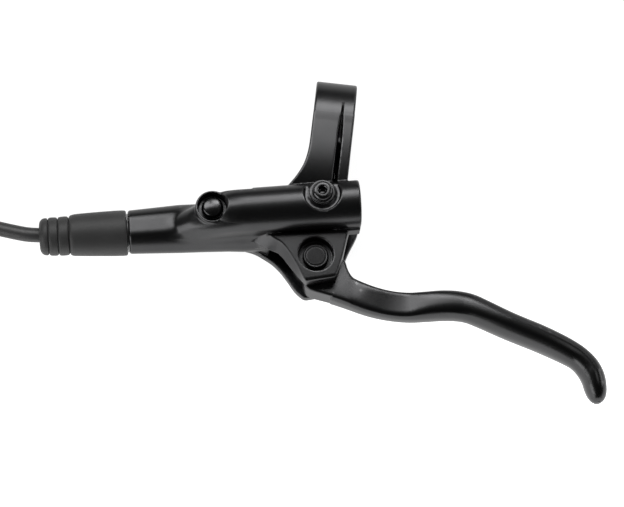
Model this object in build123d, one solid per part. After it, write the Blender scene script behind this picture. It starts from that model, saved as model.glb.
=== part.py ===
from build123d import *
import math
import os

# ---------------------------------------------------------------------------
# Hydraulic bicycle brake lever, left hand.
# Frame: origin at the centre of the handlebar clamp bore, +X along the bar towards
# the lever tip, +Y from the lever towards the rider, +Z parallel to the lever pivot.
# ---------------------------------------------------------------------------

# clamp
BAR_R = 11.1            # handlebar 22.2 mm
RING_R = 15.9           # outer radius of the clamp ring
RING_Y, RING_Z = 0.35, 0.3   # the outside is cast a little off the bore centre
CLAMP_X0, CLAMP_X1 = -7.3, 6.7   # clamp width along the bar
CLAMP_GAP = 3.0         # slit that the bolt closes
BOLT_Y = -18.9          # clamp bolt axis, parallel to Z
BOLT_R = 2.4            # M5 shank
# layout of the cylinder
PSI = 10.0              # angle of the cylinder axis to the bar, degrees
PIVOT_X, PIVOT_Y = -1.3, -48.8
CAM_ARM = 14.4          # pivot to cylinder axis
PORT_S = -62.4          # hose end of the cylinder tube, along its axis from the pivot foot
TUBE_R0, TUBE_R1 = 7.4, 8.25
TUBE_T = 0.33           # the outside is cast a little behind the bore
TUBE_TAPER_S = -45.0    # where the taper ends
SLOT_S = -15.0          # end face of the cylinder, in the lever slot
BORE_R = 4.75
BORE_END_S = -46.0
# reservoir tube above the cylinder
RES_T, RES_Z, RES_R = 1.75, 11.5, 7.8
RES_S0, RES_S1 = -36.5, 15.9
RES_TAPER_S, RES_END_R = -25.0, 4.6   # the end towards the hose is slimmer
RES_BORE_R = 5.0
PLUG_S, PLUG_T = -33.9, 2.4
BLEED_S, BLEED_T = 3.1, 4.2
# ears and lever
EAR_Z = 8.5             # underside of the lower ear
EAR_TOP_Z = 9.5         # top face of the upper ear
SLOT_Z = 4.75
HUB_Z = 4.5
PIN_R = 3.0
HUB_R = 7.8
STROKE = 6.0
# hose
HOSE_R = 2.5
HOSE_BORE_R = 1.15
FLOOR_Z = -15.6
COIL_X, COIL_Y = -153.0, -75.0
COIL_IN, COIL_OUT, COIL_H = 18.4, 36.6, 10.3

PSR = math.radians(PSI)
CA, SA = math.cos(PSR), math.sin(PSR)
M0X = PIVOT_X - CAM_ARM * SA
M0Y = PIVOT_Y + CAM_ARM * CA
LOC = Location((M0X, M0Y, 0), (0, 0, PSI))
C3 = (Align.CENTER, Align.CENTER, Align.MIN)
OUT = {}


def glob(s, t):
    """Cylinder frame (s along the axis, t across it) to the part frame."""
    return (M0X + s * CA - t * SA, M0Y + s * SA + t * CA)


def cyl_s(r, s0, s1, t=0.0, z=0.0):
    return LOC * Pos(s0, t, z) * Rotation(0, 90, 0) * Cylinder(r, s1 - s0, align=C3)


def cone_s(r0, r1, s0, s1, t=0.0, z=0.0):
    return LOC * Pos(s0, t, z) * Rotation(0, 90, 0) * Cone(r0, r1, s1 - s0, align=C3)


def cyl_z(r, z0, z1, x, y):
    return Pos(x, y, z0) * Cylinder(r, z1 - z0, align=C3)


def cyl_zl(r, z0, z1, s, t):
    return LOC * Pos(s, t, z0) * Cylinder(r, z1 - z0, align=C3)


def box_l(s0, s1, t0, t1, z0, z1):
    return LOC * Pos((s0 + s1) / 2, (t0 + t1) / 2, (z0 + z1) / 2) * Box(s1 - s0, t1 - t0, z1 - z0)


def box_g(x0, x1, y0, y1, z0, z1):
    return Pos((x0 + x1) / 2, (y0 + y1) / 2, (z0 + z1) / 2) * Box(x1 - x0, y1 - y0, z1 - z0)


def prism(pts, z0, z1):
    return extrude(Pos(0, 0, z0) * make_face(Polyline(*[(p[0], p[1]) for p in pts], close=True)), amount=z1 - z0)


def revolve_s(profile):
    """Turn a closed (s, r) profile about the cylinder axis."""
    f = make_face(Polyline(*[(p[0], p[1]) for p in profile], close=True))
    return LOC * revolve(f, Axis.X)


# ---------------------------------------------------------------------------
# lever body: one casting
# ---------------------------------------------------------------------------
tube = cone_s(TUBE_R0, TUBE_R1, PORT_S, TUBE_TAPER_S, TUBE_T) + cyl_s(TUBE_R1, TUBE_TAPER_S, SLOT_S, TUBE_T)
# flat along the top of the tube
sz = Plane(origin=(0, 12.0, 0), x_dir=(1, 0, 0), z_dir=(0, -1, 0))
flat = [(-64.0, 6.7), (-45.0, 7.6), (-40.0, 7.7), (-40.0, 14.0), (-64.0, 14.0)]
tube -= LOC * extrude(sz * make_face(Polyline(*flat, close=True)), amount=24.0)
res = cyl_s(RES_R, RES_TAPER_S, RES_S1, RES_T, RES_Z) + cone_s(RES_END_R, RES_R, RES_S0, RES_TAPER_S, RES_T, RES_Z)
# blunt nose that rises from the tube to the reservoir, and the boss of the port plug
ramp = [(-48.2, 6.0), (-48.2, 7.0), (-40.0, 13.6), (-34.0, 15.7), (-24.0, 15.7), (-24.0, 0.0), (-44.0, 0.0)]
nose = LOC * extrude(sz * make_face(Polyline(*ramp, close=True)), amount=24.0)
nose &= LOC * prism([(-48.2, -2.4), (-48.2, 2.2), (-45.5, 4.1), (-41.0, 5.6), (-37.0, 7.0), (-33.0, 8.3), (-26.0, 9.0), (-24.0, 9.0),
                     (-24.0, -6.0), (-34.0, -5.9), (-39.0, -5.4), (-43.5, -4.6), (-46.5, -3.6)], -1.0, 17.0)
boss = cyl_zl(5.8, 4.0, 15.5, PLUG_S, PLUG_T)
web = box_l(RES_TAPER_S - 2.0, RES_S1 - 0.6, RES_T - RES_R, RES_T + 6.6, -3.0, RES_Z)

# ear plates: the plan outline at the parting level and the smaller outline of the top face
ear_out = [(-26.0, -42.5), (-21.5, -46.0), (-18.2, -47.7), (-14.3, -48.6), (-12.3, -50.1), (-9.9, -52.9), (-7.6, -55.2),
           (-3.6, -58.9), (6.4, -56.1), (7.9, -49.3), (8.7, -42.0), (9.6, -36.0), (-20.0, -38.0)]
ear_top = [(-19.5, -41.5), (-17.5, -43.8), (-15.5, -45.0), (-13.75, -45.7), (-11.9, -47.25), (-8.0, -52.2), (-6.0, -55.2),
           (-3.75, -58.8), (6.1, -56.0), (7.63, -49.3), (8.44, -42.0), (9.3, -36.0), (-14.0, -38.0)]
ear_low = [(-27.5, -44.7), (-24.4, -45.0), (-21.6, -45.6), (-18.7, -47.0), (-15.8, -48.5), (-12.7, -51.0), (-9.7, -54.4),
           (-6.8, -58.0), (-3.5, -60.2), (6.6, -57.2), (9.2, -44.1), (10.3, -40.6), (11.6, -37.4), (12.6, -34.0), (12.0, -28.4),
           (-20.0, -33.0), (-27.0, -38.0)]
low = prism(ear_low, -EAR_Z, -SLOT_Z + 0.5) + prism(ear_out, -SLOT_Z, SLOT_Z)
up_a = make_face(Polyline(*[(p[0], p[1], SLOT_Z) for p in ear_out], close=True))
up_b = make_face(Polyline(*[(p[0], p[1], EAR_TOP_Z) for p in ear_top], close=True))
upper = loft([up_a, up_b], ruled=True)

# clamp arm from the body to the ring, wider at the body, and the ring itself
arm_plan = prism([(-7.3, 8.0), (-7.45, -4.3), (-7.6, -13.5), (-8.7, -19.1), (-11.2, -23.7), (-13.9, -27.1),
                  (-15.8, -34.0), (2.05, -34.0), (2.05, 8.0)], -20.0, 30.0)
arm_side = [(3.0, 14.9), (0.0, 15.7), (-4.0, 15.95), (-8.0, 15.9), (-12.0, 15.7), (-16.0, 15.35), (-20.0, 14.7), (-24.0, 13.55),
            (-28.0, 11.8), (-33.0, 9.0), (-33.0, -3.0), (-11.5, -3.0), (-9.0, 8.0), (3.0, 12.5)]
yz = Plane(origin=(-20.0, 0, 0), x_dir=(0, 1, 0), z_dir=(1, 0, 0))
arm = extrude(yz * make_face(Polyline(*arm_side, close=True)), amount=40.0) & arm_plan
strip_side = [(0.0, 15.6), (-4.0, 15.9), (-8.0, 15.8), (-12.0, 15.45), (-16.0, 14.95), (-20.0, 14.15), (-24.0, 13.05), (-28.0, 11.5),
              (-31.0, 8.0), (-31.0, -3.0), (-11.5, -3.0), (-9.0, 8.0), (0.0, 12.5)]
ys = Plane(origin=(2.75, 0, 0), x_dir=(0, 1, 0), z_dir=(1, 0, 0))
strip = extrude(ys * make_face(Polyline(*strip_side, close=True)), amount=CLAMP_X1 - 2.75)
# floor of the groove between the arm and the strip
groove_side = [(-7.0, 13.8), (-12.0, 12.6), (-19.0, 11.4), (-27.0, 9.0), (-31.0, 7.0), (-31.0, -3.0), (-11.5, -3.0), (-7.0, 8.0)]
yg = Plane(origin=(1.8, 0, 0), x_dir=(0, 1, 0), z_dir=(1, 0, 0))
groove = extrude(yg * make_face(Polyline(*groove_side, close=True)), amount=1.3)
ring = Pos(CLAMP_X0, RING_Y, RING_Z) * Rotation(0, 90, 0) * Cylinder(RING_R, CLAMP_X1 - CLAMP_X0, align=C3)
lip = box_g(CLAMP_X0, CLAMP_X1, -24.6, -8.0, -13.6, -3.0 - CLAMP_GAP)

body = tube + res + nose + boss + web + low + upper + arm + strip + groove + ring + lip
# lever slot between the ears, open to the front and to the outboard side
body -= box_l(SLOT_S, 40.0, -60.0, 7.0, -SLOT_Z, SLOT_Z)
body -= box_l(-22.0, SLOT_S + 1.0, -60.0, -8.95, -SLOT_Z, SLOT_Z)
# clamp bore, slit and bolt holes
body -= Pos(-40, 0, 0) * Rotation(0, 90, 0) * Cylinder(BAR_R, 80, align=C3)
body -= box_g(-20, 20, -27.2, -6.0, -3.0 - CLAMP_GAP, -3.0)
body -= cyl_z(BOLT_R + 0.05, -4.0, 6.4, 0, BOLT_Y)
body -= cyl_z(BOLT_R + 0.35, -20.0, -3.0, 0, BOLT_Y)
body -= cyl_z(4.5, -20.0, -10.4, 0, BOLT_Y)
# cylinder bore, hose port and passage
body -= cyl_s(BORE_R, BORE_END_S, SLOT_S + 1)
body -= cyl_s(1.0, -50.0, BORE_END_S + 1)
body -= cyl_s(4.0, PORT_S - 1, -53.0)
body -= cyl_s(3.8, -53.5, -48.5)
body -= cyl_s(BORE_R + 0.5, -17.2, -16.3)
# reservoir bore, cap seat, passage to the plug hole, compensating port
body -= cyl_s(RES_BORE_R, -26.0, RES_S1 + 1, RES_T, RES_Z)
body -= cyl_s(6.3, RES_S1 - 1.7, RES_S1 + 1, RES_T, RES_Z)
body -= cyl_s(1.9, PLUG_S, -25.0, RES_T, RES_Z - 2.6)
body -= cyl_zl(0.5, 3.0, RES_Z - 3.0, -33.7, 0.0)
# plug recess and bleed spot face
body -= cyl_zl(5.0, 11.8, 30.0, PLUG_S, PLUG_T)
body -= cyl_zl(3.05, RES_Z - 2.6, 14.0, PLUG_S, PLUG_T)
body -= cyl_zl(6.3, 17.2, 30.0, BLEED_S, BLEED_T)
body -= cyl_zl(2.5, 14.0, 18.0, BLEED_S, BLEED_T)
# pivot holes and recesses
body -= cyl_z(PIN_R + 0.02, -20, 20, PIVOT_X, PIVOT_Y)
body -= cyl_z(5.9, 5.6, EAR_TOP_Z + 1.0, PIVOT_X, PIVOT_Y)
body -= cyl_z(5.2, -20, -6.9, PIVOT_X, PIVOT_Y)
OUT["lever_body"] = body

# ---------------------------------------------------------------------------
# clamp bolt
# ---------------------------------------------------------------------------
bolt = cyl_z(BOLT_R, -10.4, 5.6, 0, BOLT_Y) + cyl_z(4.25, -15.4, -10.4, 0, BOLT_Y)
bolt -= extrude(Pos(0, BOLT_Y, -15.5) * RegularPolygon(2.31, 6), amount=2.9)
OUT["clamp_bolt"] = bolt

# ---------------------------------------------------------------------------
# hose, its route and fittings
# ---------------------------------------------------------------------------
h0 = glob(-49.5, 0)
h1 = glob(-91.0, 0)
ROUTE = [(h0[0], h0[1], 0.0), (h1[0], h1[1], 0.0), (-106.85, -49.13, -1.2), (-145.0, -41.3, -8.0),
         (-160.0, -42.2, -8.0)]


def cord_radii(pts):
    v = [Vector(*p) for p in pts]
    out = []
    for i in range(1, len(v) - 1):
        a, b = v[i] - v[i - 1], v[i + 1] - v[i]
        turn = math.radians(a.get_angle(b))
        out.append(0.45 * min(a.length, b.length) / math.tan(turn / 2))
    return out


radii = cord_radii(ROUTE)
print("hose arc radii", [round(r, 1) for r in radii])
path = FilletPolyline(*ROUTE, radius=radii)
sect = Plane(origin=path @ 0, z_dir=path % 0) * (Circle(HOSE_R) - Circle(HOSE_BORE_R))
hose = sweep(sect, path=path)
area = math.pi * (HOSE_R ** 2 - HOSE_BORE_R ** 2)
print("hose length", round(path.length, 1), "volume ratio", round(hose.volume / (area * path.length), 4))
coil = Pos(COIL_X, COIL_Y, FLOOR_Z + 0.6) * (Cylinder(COIL_OUT, COIL_H, align=C3) - Cylinder(COIL_IN, COIL_H, align=C3))
coil = fillet(coil.edges(), 2.4)
solid_lead = sweep(Plane(origin=path @ 0, z_dir=path % 0) * Circle(HOSE_R), path=path)
OUT["brake_hose"] = hose - coil
OUT["hose_coil"] = coil
TAIL_Y, TAIL_Z = COIL_Y + 33.9, FLOOR_Z + 3.1
tail = Pos(COIL_X, TAIL_Y, TAIL_Z) * Rotation(0, -90, 0) * (Cylinder(HOSE_R, 38.0, align=C3) - Cylinder(HOSE_BORE_R, 38.0, align=C3))
OUT["hose_tail"] = tail - coil
ta = math.radians(215.0)
tie = Pos(COIL_X, COIL_Y, 0) * Rotation(0, 0, 215) * (
    box_g(COIL_IN - 0.6, COIL_OUT + 0.6, -2.0, 2.0, FLOOR_Z, FLOOR_Z + COIL_H + 1.2))
OUT["hose_tie"] = tie - coil

nut = cyl_s(3.95, -62.6, -53.1) + cyl_s(6.6, -62.85, PORT_S - 0.05)
nut += LOC * Pos(-70.0, 0, 0) * Rotation(0, 90, 0) * extrude(RegularPolygon(4.62, 6), amount=PORT_S + 69.95)
nut -= cyl_s(HOSE_R + 0.05, -80, -40)
OUT["compression_nut"] = nut
OUT["olive"] = (cone_s(3.1, 3.65, -53.0, -51.9) + cone_s(3.65, 3.1, -51.9, -50.6)) - cyl_s(HOSE_R + 0.05, -60, -40)
OUT["hose_insert"] = (cyl_s(1.1, -59.0, -49.4) + cyl_s(2.4, -49.4, -48.7)) - cyl_s(0.7, -70, -40)

tx = COIL_X - 20.6
fnut = Pos(tx, TAIL_Y, TAIL_Z) * Rotation(0, -90, 0) * (extrude(RegularPolygon(3.05, 6), amount=6.0)
                                                         + Pos(0, 0, 6.0) * Cylinder(2.98, 8.5, align=C3))
fnut -= Pos(tx + 1, TAIL_Y, TAIL_Z) * Rotation(0, -90, 0) * Cylinder(HOSE_R + 0.05, 40, align=C3)
OUT["caliper_nut"] = fnut
ol = Pos(tx - 14.6, TAIL_Y, TAIL_Z) * Rotation(0, -90, 0) * (Cone(2.75, 2.95, 1.0, align=C3) + Pos(0, 0, 1.0) * Cone(2.95, 2.75, 1.0, align=C3))
ol -= Pos(tx, TAIL_Y, TAIL_Z) * Rotation(0, -90, 0) * Cylinder(HOSE_R + 0.05, 40, align=C3)
OUT["caliper_olive"] = ol
ins = Pos(COIL_X - 38.05, TAIL_Y, TAIL_Z) * Rotation(0, -90, 0) * (Cylinder(2.4, 0.8, align=C3) + Pos(0, 0, -9.0) * Cylinder(1.1, 9.0, align=C3))
ins -= Pos(COIL_X - 20, TAIL_Y, TAIL_Z) * Rotation(0, -90, 0) * Cylinder(0.7, 40, align=C3)
OUT["caliper_insert"] = ins

# ribbed rubber hose cover, bored by the hose
cover = revolve_s([(-62.9, 0), (-62.9, 7.4), (-63.4, 7.75), (-67.0, 7.72), (-70.0, 7.62), (-73.0, 7.5), (-76.0, 7.37), (-79.0, 7.22),
                   (-81.2, 7.0), (-82.2, 6.6), (-82.45, 6.05), (-82.6, 6.05), (-82.85, 6.5), (-84.3, 6.66), (-85.9, 6.5),
                   (-86.18, 5.95), (-86.32, 5.95), (-86.6, 6.4), (-87.8, 6.55), (-89.2, 6.35), (-89.47, 5.85), (-89.6, 5.85),
                   (-89.85, 6.2), (-90.8, 6.3), (-91.8, 5.8), (-92.4, 4.9), (-92.6, 3.8), (-92.6, 0)])
cover -= cyl_s(4.75, -72.0, -60.0)
cover -= solid_lead
OUT["hose_cover"] = cover

# ---------------------------------------------------------------------------
# bleed screw, port plug, reservoir cap and bladder
# ---------------------------------------------------------------------------
bs = cyl_zl(4.4, 17.9, 18.9, BLEED_S, BLEED_T) + cyl_zl(3.4, 18.9, 21.0, BLEED_S, BLEED_T) + cyl_zl(2.42, 15.1, 18.0, BLEED_S, BLEED_T)
bs = chamfer(bs.edges().filter_by(GeomType.CIRCLE).group_by(Axis.Z)[-1], 0.5)
bs -= LOC * extrude(Pos(BLEED_S, BLEED_T, 18.6) * RegularPolygon(1.44, 6), amount=5.0)
OUT["bleed_screw"] = bs
OUT["bleed_o_ring"] = LOC * Pos(BLEED_S, BLEED_T, 17.55) * Torus(3.4, 0.32)
pl = cyl_zl(3.7, 11.85, 14.9, PLUG_S, PLUG_T) + LOC * Pos(PLUG_S, PLUG_T, 14.9) * Cone(3.7, 1.9, 1.0, align=C3)
pl += cyl_zl(3.0, 9.2, 11.9, PLUG_S, PLUG_T)
pl -= cyl_zl(4.0, 10.2, 11.2, PLUG_S, PLUG_T) - cyl_zl(2.3, 10.2, 11.2, PLUG_S, PLUG_T)
OUT["port_plug"] = pl
OUT["port_plug_seal"] = LOC * Pos(PLUG_S, PLUG_T, 10.7) * Torus(2.68, 0.34)
cap = cyl_s(6.2, RES_S1 - 1.6, RES_S1 - 0.4, RES_T, RES_Z) + cyl_s(4.9, RES_S1 - 5.0, RES_S1 - 1.6, RES_T, RES_Z)
cap -= cyl_s(2.6, RES_S1 - 6.0, RES_S1 - 1.4, RES_T, RES_Z)
cap -= cyl_s(0.6, RES_S1 - 6.0, RES_S1 + 1, RES_T, RES_Z)
OUT["reservoir_cap"] = cap
bl0, bl1 = -20.0, RES_S1 - 5.05
bladder = cyl_s(3.4, bl0, bl1, RES_T, RES_Z) + cyl_s(4.9, bl1 - 0.9, bl1, RES_T, RES_Z)
bladder -= cyl_s(2.6, bl0 + 0.8, bl1 + 1, RES_T, RES_Z)
OUT["bladder"] = bladder

# ---------------------------------------------------------------------------
# master piston group, at rest
# ---------------------------------------------------------------------------
PF, PB = -33.4, -17.4    # piston front and back
pist = cyl_s(BORE_R - 0.05, PF, PB)
pist -= cyl_s(6.0, -31.6, -29.4) - cyl_s(3.2, -31.6, -29.4)
pist -= cyl_s(6.0, -21.0, -18.8) - cyl_s(3.2, -21.0, -18.8)
pist -= cyl_s(6.0, -28.4, -22.0) - cyl_s(3.6, -28.4, -22.0)
pist += cyl_s(2.3, PF - 1.6, PF)
pist -= cyl_s(2.3, -24.0, PB + 1)
OUT["piston"] = pist
OUT["primary_cup"] = cone_s(4.68, 4.2, -31.55, -29.45) - cyl_s(3.22, -40, -20)
OUT["secondary_cup"] = cone_s(4.68, 4.2, -20.95, -18.85) - cyl_s(3.22, -30, -10)
PUSH_END = -5.06
push = cyl_s(2.2, -23.9, -6.8) + cone_s(2.2, 3.2, -8.2, -6.8) + cyl_s(3.2, -6.8, PUSH_END)
OUT["pushrod"] = push
OUT["stop_washer"] = cyl_s(4.7, -17.3, -16.75) - cyl_s(2.6, -20, -10)
OUT["circlip"] = (cyl_s(5.2, -16.65, -16.35) - cyl_s(3.7, -20, -10)) - box_l(-20, -10, -1.2, 1.2, -8.0, 0.0)

# return spring, between the end of the bore and the piston
SPR_R, WIRE = 3.35, 0.45
SPR_S0, SPR_S1 = BORE_END_S + 0.1 + WIRE, PF - 0.1 - WIRE
helix = Helix(pitch=(SPR_S1 - SPR_S0) / 5.5, height=SPR_S1 - SPR_S0, radius=SPR_R)
spring = sweep(Plane(origin=helix @ 0, z_dir=helix % 0) * Circle(WIRE), path=helix, is_frenet=True)
OUT["return_spring"] = LOC * Pos(SPR_S0, 0, 0) * Rotation(0, 90, 0) * spring

# ---------------------------------------------------------------------------
# lever blade: hub, cam arm, root and lofted finger part
# ---------------------------------------------------------------------------
root = [(-4.8, -54.0), (-4.4, -57.8), (-3.2, -59.6), (-0.6, -60.4), (8.6, -61.8), (11.2, -62.1), (11.2, -55.6),
        (10.9, -52.6), (9.9, -50.4), (9.0, -47.7), (6.4, -44.9), (-1.3, -48.8)]
lever = cyl_z(HUB_R, -HUB_Z, HUB_Z, PIVOT_X, PIVOT_Y) + prism(root, -HUB_Z, HUB_Z)
lever += box_l(-4.2, 4.2, -CAM_ARM, 2.0, -HUB_Z, HUB_Z) + LOC * Pos(0, 2.0, -HUB_Z) * Cylinder(4.2, 2 * HUB_Z, align=C3)
# stations of the finger part: x, y, width in plan, height, squareness
BLADE = [(7.0, -56.9, 10.6, 8.9, 4.0), (12.85, -58.8, 9.9, 9.3, 3.5), (19.1, -60.4, 9.75, 10.0, 3.0), (25.6, -61.2, 9.65, 10.5, 2.7),
         (32.0, -61.05, 9.7, 11.0, 2.6), (37.6, -60.1, 9.8, 11.5, 2.5), (42.9, -59.1, 9.9, 12.0, 2.4),
         (47.9, -58.65, 9.8, 12.5, 2.3), (52.3, -59.0, 9.6, 12.9, 2.2), (56.9, -60.4, 9.2, 13.2, 2.2),
         (64.8, -63.2, 8.9, 13.2, 2.2), (70.2, -64.9, 8.8, 13.2, 2.2), (75.6, -66.5, 8.75, 13.1, 2.2),
         (80.9, -68.3, 8.6, 12.9, 2.2), (86.0, -70.25, 8.4, 12.2, 2.2), (90.3, -72.35, 8.2, 11.4, 2.1),
         (93.6, -75.2, 8.4, 11.6, 2.0), (95.75, -78.5, 8.2, 12.2, 2.0), (96.9, -82.0, 7.7, 11.4, 2.0),
         (97.5, -84.4, 6.7, 9.6, 2.0), (97.8, -86.4, 4.4, 6.2, 2.0)]
wires = []
for i, (x, y, w, h, q) in enumerate(BLADE):
    a = BLADE[max(i - 1, 0)]
    b = BLADE[min(i + 1, len(BLADE) - 1)]
    d = math.hypot(b[0] - a[0], b[1] - a[1])
    nx, ny = -(b[1] - a[1]) / d, (b[0] - a[0]) / d
    pts = []
    for k in range(20):
        th = 2 * math.pi * k / 20
        c, s = math.cos(th), math.sin(th)
        u = math.copysign(abs(c) ** (2 / q), c) * w / 2
        v = math.copysign(abs(s) ** (2 / q), s) * h / 2
        pts.append((x + nx * u, y + ny * u, v))
    wires.append(Wire([Edge.make_spline([Vector(*p) for p in pts], periodic=True)]))
finger = Solid.make_loft(wires, False)
lever = lever + finger
lever -= cyl_z(3.82, -20, 20, PIVOT_X, PIVOT_Y)
lever -= cyl_s(2.03, -10, 10)
OUT["lever_blade"] = lever
bush = cyl_z(3.8, 0.05, HUB_Z, PIVOT_X, PIVOT_Y) - cyl_z(PIN_R + 0.03, -20, 20, PIVOT_X, PIVOT_Y)
OUT["upper_bush"] = bush
bush = cyl_z(3.8, -HUB_Z, -0.05, PIVOT_X, PIVOT_Y) - cyl_z(PIN_R + 0.03, -20, 20, PIVOT_X, PIVOT_Y)
OUT["lower_bush"] = bush
screw = cyl_s(2.0, -3.4, 5.2) + LOC * Pos(-3.0, 0, 0) * Sphere(2.0)
screw -= LOC * Pos(2.6, 0, 0) * Rotation(0, 90, 0) * extrude(RegularPolygon(1.15, 6), amount=5.0)
OUT["reach_screw"] = screw

# pivot pin with its head in the upper recess, clip at the lower end
pin = cyl_z(PIN_R, -8.3, 5.8, PIVOT_X, PIVOT_Y) + cyl_z(4.4, 5.65, 7.3, PIVOT_X, PIVOT_Y)
pin = chamfer(pin.edges().filter_by(GeomType.CIRCLE).group_by(Axis.Z)[-1], 0.35)
pin -= cyl_z(6.0, -7.75, -6.95, PIVOT_X, PIVOT_Y) - cyl_z(2.4, -7.75, -6.95, PIVOT_X, PIVOT_Y)
OUT["pivot_pin"] = pin
clip = cyl_z(4.6, -7.7, -7.0, PIVOT_X, PIVOT_Y) - cyl_z(2.45, -9, -6, PIVOT_X, PIVOT_Y)
clip -= box_g(PIVOT_X - 1.5, PIVOT_X + 1.5, PIVOT_Y - 8, PIVOT_Y, -9, -6)
OUT["pin_clip"] = clip

os.makedirs("parts", exist_ok=True)
for name, shape in OUT.items():
    export_step(shape, "parts/" + name + ".step")
    print(name, round(shape.volume, 1))
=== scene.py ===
import bpy
import math
import numpy as np
import openvdb
from mathutils import Matrix, Vector


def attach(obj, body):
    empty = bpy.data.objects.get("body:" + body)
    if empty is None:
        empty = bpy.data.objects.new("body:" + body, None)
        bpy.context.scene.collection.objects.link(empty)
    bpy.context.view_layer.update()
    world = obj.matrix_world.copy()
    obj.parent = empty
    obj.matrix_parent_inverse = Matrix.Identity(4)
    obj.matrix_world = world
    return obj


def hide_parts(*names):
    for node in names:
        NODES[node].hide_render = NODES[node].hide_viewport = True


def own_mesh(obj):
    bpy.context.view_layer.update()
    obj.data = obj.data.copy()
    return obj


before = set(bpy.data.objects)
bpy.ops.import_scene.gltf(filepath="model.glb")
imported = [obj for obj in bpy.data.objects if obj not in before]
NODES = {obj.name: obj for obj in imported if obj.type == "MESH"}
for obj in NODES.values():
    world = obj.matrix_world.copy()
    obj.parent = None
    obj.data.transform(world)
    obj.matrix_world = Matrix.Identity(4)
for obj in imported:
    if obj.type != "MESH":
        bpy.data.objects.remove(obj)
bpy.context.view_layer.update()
scene = bpy.context.scene

# ---------------------------------------------------------------------------
# camera
# ---------------------------------------------------------------------------
cam_data = bpy.data.cameras.new("studio_camera")
cam_data.sensor_fit = "HORIZONTAL"
cam_data.sensor_width = 36.0
cam_data.lens = 161.199
cam_data.clip_start = 0.01
cam_data.clip_end = 20.0
cam = bpy.data.objects.new("studio_camera", cam_data)
scene.collection.objects.link(cam)
CR, CU, CB = (0.99389142, 0.10077122, 0.045), (-0.11, 0.93755, 0.33), (-0.00893525, -0.33293417, 0.94290774)
CP = (-0.0110567, -0.3618109, 0.8957623)
cam.matrix_world = Matrix([[CR[i], CU[i], CB[i], CP[i]] for i in range(3)] + [[0, 0, 0, 1]])
scene.camera = cam
scene.view_settings.view_transform = "Standard"

# ---------------------------------------------------------------------------
# hose: route of the lead, two layers of turns, tail into the caliper fitting (mm)
# ---------------------------------------------------------------------------
PSI = math.radians(10.0)
CA, SA = math.cos(PSI), math.sin(PSI)
PX, PY = -1.3, -48.8
M0X, M0Y = PX - 14.4 * SA, PY + 14.4 * CA


def glob(s, t, z=0.0):
    return (M0X + s * CA - t * SA, M0Y + s * SA + t * CA, z)


def loc(x, y):
    """Along and across the cylinder axis."""
    return (x - M0X) * CA + (y - M0Y) * SA, -(x - M0X) * SA + (y - M0Y) * CA


lead = [glob(-49.5, 0), glob(-91.0, 0), (-106.85, -49.13, -1.2), (-145.0, -41.3, -8.0), (-160.0, -42.2, -8.0)]
turns = []
COIL = (-153.0, -75.0)
for k in range(1, 80):
    a = 102.0 + 22.5 * k
    if a > 1880:
        break
    if a < 990:                      # upper layer, winding in
        r, z = 33.9 - 12.8 * (a - 90.0) / 900.0, -7.55
    elif a < 1080:                   # step down to the lower layer
        u = (a - 990.0) / 90.0
        r, z = 21.1, -7.55 - 4.95 * u * u * (3 - 2 * u)
    else:                            # lower layer, winding out
        r, z = 21.1 + 12.8 * (a - 1080.0) / 810.0, -12.5
    r /= 0.981
    turns.append((COIL[0] + r * math.cos(math.radians(a)), COIL[1] + r * math.sin(math.radians(a)), z))
tail = [(-153.5, -40.9, -12.5), (-165.0, -41.1, -12.5), (-178.0, -41.1, -12.5), (-191.0, -41.1, -12.5)]
hose_pts = lead + turns + tail

cu = bpy.data.curves.new("hose_route", "CURVE")
cu.dimensions = "3D"
sp = cu.splines.new("NURBS")
sp.points.add(len(hose_pts) - 1)
for p, q in zip(sp.points, hose_pts):
    p.co = (q[0] * 0.001, q[1] * 0.001, q[2] * 0.001, 1.0)
sp.order_u = 3
sp.use_endpoint_u = True
sp.resolution_u = 8
route = bpy.data.objects.new("hose_route", cu)
scene.collection.objects.link(route)
line = bpy.data.meshes.new_from_object(route)
HOSE_PATH = [Vector(v.co) for v in line.vertices]
bpy.data.meshes.remove(line)
bpy.data.objects.remove(route)
bpy.data.curves.remove(cu)

# round tube along the route's line, its rings carried along without twist, with rounded-off end faces
HOSE_R, HOSE_N = 0.0025, 24
rings, faces = [], []
tang = [(HOSE_PATH[min(i + 1, len(HOSE_PATH) - 1)] - HOSE_PATH[max(i - 1, 0)]).normalized() for i in range(len(HOSE_PATH))]
side = tang[0].orthogonal().normalized()
stations = [(HOSE_PATH[0], tang[0], HOSE_R - 0.0002)]
stations += [(HOSE_PATH[0] + tang[0] * 0.0002, tang[0], HOSE_R)] + [(q, d, HOSE_R) for q, d in zip(HOSE_PATH[1:-1], tang[1:-1])]
stations += [(HOSE_PATH[-1] - tang[-1] * 0.0002, tang[-1], HOSE_R), (HOSE_PATH[-1], tang[-1], HOSE_R - 0.0002)]
for q, d, r in stations:
    side = (side - d * side.dot(d)).normalized()
    over = d.cross(side)
    rings += [q + (side * math.cos(2 * math.pi * k / HOSE_N) + over * math.sin(2 * math.pi * k / HOSE_N)) * r for k in range(HOSE_N)]
for i in range(len(stations) - 1):
    for k in range(HOSE_N):
        l = (k + 1) % HOSE_N
        faces.append((i * HOSE_N + k, i * HOSE_N + l, (i + 1) * HOSE_N + l, (i + 1) * HOSE_N + k))
faces.append(tuple(range(HOSE_N - 1, -1, -1)))
faces.append(tuple((len(stations) - 1) * HOSE_N + k for k in range(HOSE_N)))
me = bpy.data.meshes.new("hose_line")
me.from_pydata([tuple(v) for v in rings], [], faces)
me.polygons.foreach_set("use_smooth", np.array([len(f) == 4 for f in faces], bool))
hose = bpy.data.objects.new("hose_line", me)
scene.collection.objects.link(hose)
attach(hose, "body")
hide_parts("brake_hose", "hose_coil", "hose_tail")

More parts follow.
